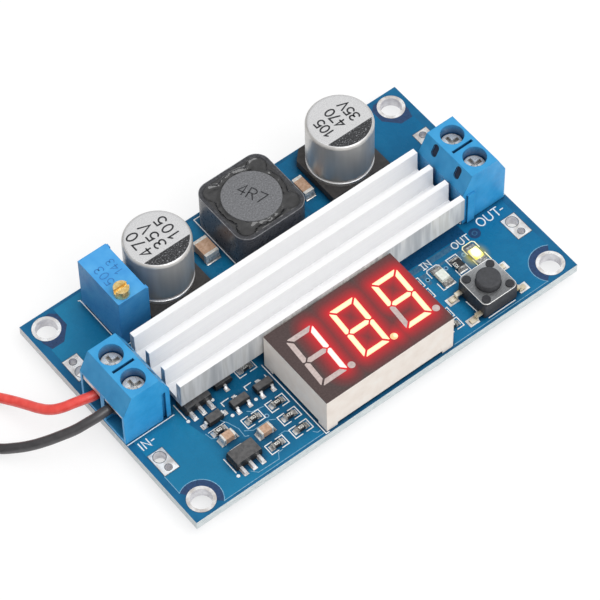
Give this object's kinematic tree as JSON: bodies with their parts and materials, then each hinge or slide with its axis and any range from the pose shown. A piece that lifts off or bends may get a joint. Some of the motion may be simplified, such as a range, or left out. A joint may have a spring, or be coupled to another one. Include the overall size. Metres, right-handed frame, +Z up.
{
  "type": "boost converter module",
  "caption": "Circuit board that steps up a voltage, with a finned heatsink, screw terminals, a digital meter, a push button and an adjusting screw.",
  "frame": {"origin": "under the middle of the board, in the plane of the trimmed pin tips that it stands on", "axes": "+X from the input terminals to the output terminals, +Y from the meter to the capacitors, +Z up"},
  "size_m": [0.107, 0.0655, 0.0147],
  "materials": {
    "board": "solder mask over a glass-fibre board",
    "tin": "tinned metal",
    "heatsink": "bright extruded",
    "thermal_pad": "matte",
    "black_moulding": "fine matte moulding",
    "terminal_plastic": "satin",
    "plated_steel": "bright plated",
    "trimmer_plastic": "satin",
    "brass": "satin",
    "can": "drawn",
    "ferrite": "sintered, matte",
    "copper_wire": "enamelled or bare copper",
    "ceramic": "fired ceramic",
    "lamp_base": "white moulding with tinned ends",
    "lamp_lens": "clear to milky",
    "display_case": "satin",
    "display_face": "dark film",
    "display_lit": "glowing",
    "display_unlit": "milky",
    "red_insulation": "satin",
    "black_insulation": "satin"
  },
  "bodies": {
    "board": {"pcb": "board", "tinned_pads": "tin", "solder_joints": "tin", "heatsink": "heatsink", "thermal_pad": "thermal_pad", "mosfet_body": "black_moulding", "mosfet_leadframe": "tin", "diode_body": "black_moulding", "diode_leadframe": "tin", "controller_body": "black_moulding", "controller_leads": "tin", "input_terminal_housing": "terminal_plastic", "input_terminal_contacts": "tin", "output_terminal_housing": "terminal_plastic", "output_terminal_contacts": "tin", "trimmer_body": "trimmer_plastic", "trimmer_pins": "tin", "input_capacitor_base": "black_moulding", "input_capacitor_can": "can", "output_capacitor_base": "black_moulding", "output_capacitor_can": "can", "capacitor_leads": "tin", "inductor_shield": "ferrite", "inductor_drum": "ferrite", "inductor_winding": "copper_wire", "inductor_terminals": "tin", "ceramic_capacitor_bodies": "ceramic", "ceramic_capacitor_ends": "tin", "resistor_bodies": "black_moulding", "resistor_ends": "tin", "transistor_bodies": "black_moulding", "transistor_leads": "tin", "regulator_bodies": "black_moulding", "regulator_leads": "tin", "lamp_bases": "lamp_base", "input_lamp_lens": "lamp_lens", "output_lamp_lens": "lamp_lens", "button_housing": "black_moulding", "button_cover": "plated_steel", "button_dome": "plated_steel", "button_leads": "tin", "display_housing": "display_case", "display_face": "display_face", "display_lit_segments": "display_lit", "display_unlit_segments": "display_unlit", "display_pins": "tin", "lead_conductors": "copper_wire", "red_lead": "red_insulation", "black_lead": "black_insulation", "lead_coils": "black_insulation"},
    "plunger": {"button_plunger": "black_moulding"},
    "adjuster": {"trimmer_screw": "brass"},
    "input_positive_screw_body": {"input_positive_screw": "plated_steel"},
    "input_positive_clamp_body": {"input_positive_clamp": "plated_steel"},
    "input_negative_screw_body": {"input_negative_screw": "plated_steel"},
    "input_negative_clamp_body": {"input_negative_clamp": "plated_steel"},
    "output_positive_screw_body": {"output_positive_screw": "plated_steel"},
    "output_positive_clamp_body": {"output_positive_clamp": "plated_steel"},
    "output_negative_screw_body": {"output_negative_screw": "plated_steel"},
    "output_negative_clamp_body": {"output_negative_clamp": "plated_steel"}
  },
  "joints": [
    {"name": "button_press", "type": "slide", "parent": "board", "child": "plunger", "axis": [0, 0, 1], "range_m": [-0.00025, 0], "stiffness_N_per_m": 2000, "springref_m": 0.0004},
    {"name": "voltage_adjust", "type": "hinge", "parent": "board", "child": "adjuster", "pos_m": [-0.023, 0.01029, 0.0132], "axis": [0, 0, 1], "continuous": true},
    {"name": "input_positive_clamp_slide", "type": "slide", "parent": "board", "child": "input_positive_clamp_body", "axis": [0, 0, 1], "range_m": [-0.001, 0]},
    {"name": "input_positive_turn", "type": "hinge", "parent": "board", "child": "input_positive_screw_body", "pos_m": [-0.03025, 0.003, 0.0112], "axis": [0, 0, 1], "range_deg": [0, 720]},
    {"name": "input_negative_clamp_slide", "type": "slide", "parent": "board", "child": "input_negative_clamp_body", "axis": [0, 0, 1], "range_m": [-0.001, 0]},
    {"name": "input_negative_turn", "type": "hinge", "parent": "board", "child": "input_negative_screw_body", "pos_m": [-0.03025, -0.002, 0.0112], "axis": [0, 0, 1], "range_deg": [0, 720]},
    {"name": "output_positive_clamp_slide", "type": "slide", "parent": "board", "child": "output_positive_clamp_body", "axis": [0, 0, 1], "range_m": [-0.001, 0]},
    {"name": "output_positive_turn", "type": "hinge", "parent": "board", "child": "output_positive_screw_body", "pos_m": [0.0299, 0.0027, 0.0112], "axis": [0, 0, 1], "range_deg": [0, 720]},
    {"name": "output_negative_clamp_slide", "type": "slide", "parent": "board", "child": "output_negative_clamp_body", "axis": [0, 0, 1], "range_m": [-0.001, 0]},
    {"name": "output_negative_turn", "type": "hinge", "parent": "board", "child": "output_negative_screw_body", "pos_m": [0.0299, -0.0023, 0.0112], "axis": [0, 0, 1], "range_deg": [0, 720]}
  ],
  "couplings": [
    {"joint": "input_positive_turn", "follows": "input_positive_clamp_slide", "rad_per_m": -12566},
    {"joint": "input_negative_turn", "follows": "input_negative_clamp_slide", "rad_per_m": -12566},
    {"joint": "output_positive_turn", "follows": "output_positive_clamp_slide", "rad_per_m": -12566},
    {"joint": "output_negative_turn", "follows": "output_negative_clamp_slide", "rad_per_m": -12566}
  ]
}
